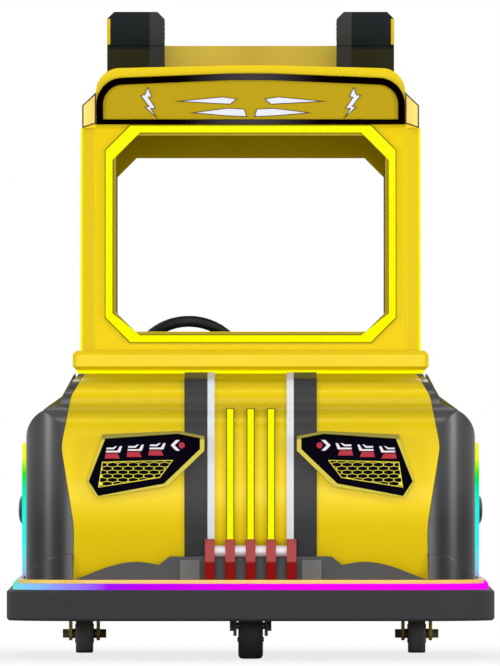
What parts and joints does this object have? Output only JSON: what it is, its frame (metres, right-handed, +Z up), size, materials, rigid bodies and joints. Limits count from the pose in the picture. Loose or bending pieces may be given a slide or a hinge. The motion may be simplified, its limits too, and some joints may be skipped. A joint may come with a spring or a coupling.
{
  "type": "mall ride-on car",
  "caption": "Battery ride-on car for children with a soft bumper ring, ribbed nose, wedge lamps, open-sided cab, steered front drive wheel and plain rear wheels",
  "frame": {"origin": "on the floor under the middle of the bumper's length and width", "axes": "+Z up, -Y forward, +X to the car's own left"},
  "size_m": [1.1, 1.56, 1.47],
  "materials": {
    "black_plastic": "satin",
    "body_yellow": "gloss",
    "bolt_steel": "satin",
    "bright_tube": "polished",
    "bumper_rubber": "matte",
    "clamp_red": "gloss",
    "dark_gloss": "gloss",
    "deck_gold": "gloss",
    "frame_steel": "satin",
    "grey_plastic": "satin",
    "header_gold": "satin",
    "hub_plastic": "satin",
    "lamp_olive": "gloss",
    "neon_yellow": "gloss",
    "ring_light": "gloss",
    "seat_leather": "satin",
    "strip_light": "gloss",
    "trim_dark": "satin",
    "trim_white": "gloss",
    "tyre_rubber": "matte",
    "zinc_steel": "satin"
  },
  "bodies": {
    "car_body": {"base_light_strip": "strip_light", "base_plate": "deck_gold", "battery_block": "black_plastic", "bumper_band": "bumper_rubber", "cab_edge_lights": "neon_yellow", "cab_front_frame": "body_yellow", "cab_rear_frame": "header_gold", "cab_side_left": "body_yellow", "cab_side_right": "body_yellow", "chassis_frame": "frame_steel", "cowl_ledge": "body_yellow", "dashboard": "grey_plastic", "fork_turnplate": "frame_steel", "front_fender_left": "dark_gloss", "front_fender_right": "dark_gloss", "guard_clamps": "clamp_red", "guard_tube": "bright_tube", "header_frame": "black_plastic", "header_panel": "header_gold", "hood_shell": "body_yellow", "lamp_bars": "trim_white", "lamp_blocks": "clamp_red", "lamp_bodies": "black_plastic", "lamp_frames": "lamp_olive", "lamp_meshes": "body_yellow", "ledge_light": "neon_yellow", "nose_dark_trims": "trim_dark", "nose_light_bars": "neon_yellow", "nose_skirt": "trim_dark", "nose_stops": "grey_plastic", "nose_white_trims": "trim_white", "rear_axles": "bolt_steel", "rear_fender_left": "dark_gloss", "rear_fender_right": "dark_gloss", "roof_band": "header_gold", "roof_pods": "black_plastic", "roof_shell": "body_yellow", "seat_backrest": "seat_leather", "seat_base": "dark_gloss", "seat_cushion": "seat_leather", "side_discs": "black_plastic", "side_panel_left": "body_yellow", "side_panel_right": "body_yellow", "side_ring_lights": "ring_light", "steering_column": "black_plastic", "tail_body": "body_yellow", "wheel_brackets": "zinc_steel", "window_light_ring": "neon_yellow"},
    "rear_wheel_left": {"rear_tyre_left": "tyre_rubber", "rear_hub_left": "hub_plastic"},
    "rear_wheel_right": {"rear_tyre_right": "tyre_rubber", "rear_hub_right": "hub_plastic"},
    "steering_fork": {"front_fork": "frame_steel", "front_axle": "bolt_steel"},
    "front_wheel": {"front_tyre": "tyre_rubber", "front_hub": "hub_plastic"},
    "hand_wheel": {"steering_wheel": "black_plastic"}
  },
  "joints": [
    {"name": "fork_turn", "type": "hinge", "parent": "car_body", "child": "steering_fork", "pos_m": [0, -0.52, 0.19], "axis": [0, 0, 1], "range_deg": [-40, 40]},
    {"name": "front_wheel_roll", "type": "hinge", "parent": "steering_fork", "child": "front_wheel", "pos_m": [0, -0.52, 0.075], "axis": [1, 0, 0], "continuous": true},
    {"name": "rear_wheel_left_roll", "type": "hinge", "parent": "car_body", "child": "rear_wheel_left", "pos_m": [0.382, 0.48, 0.0447], "axis": [1, 0, 0], "continuous": true},
    {"name": "rear_wheel_right_roll", "type": "hinge", "parent": "car_body", "child": "rear_wheel_right", "pos_m": [-0.382, 0.48, 0.0447], "axis": [1, 0, 0], "continuous": true},
    {"name": "hand_wheel_turn", "type": "hinge", "parent": "car_body", "child": "hand_wheel", "pos_m": [-0.14, -0.205, 0.653], "axis": [0, 0.8988, 0.4384], "range_deg": [-100, 100]}
  ],
  "couplings": [
    {"joint": "hand_wheel_turn", "follows": "fork_turn", "ratio": 2.5}
  ]
}
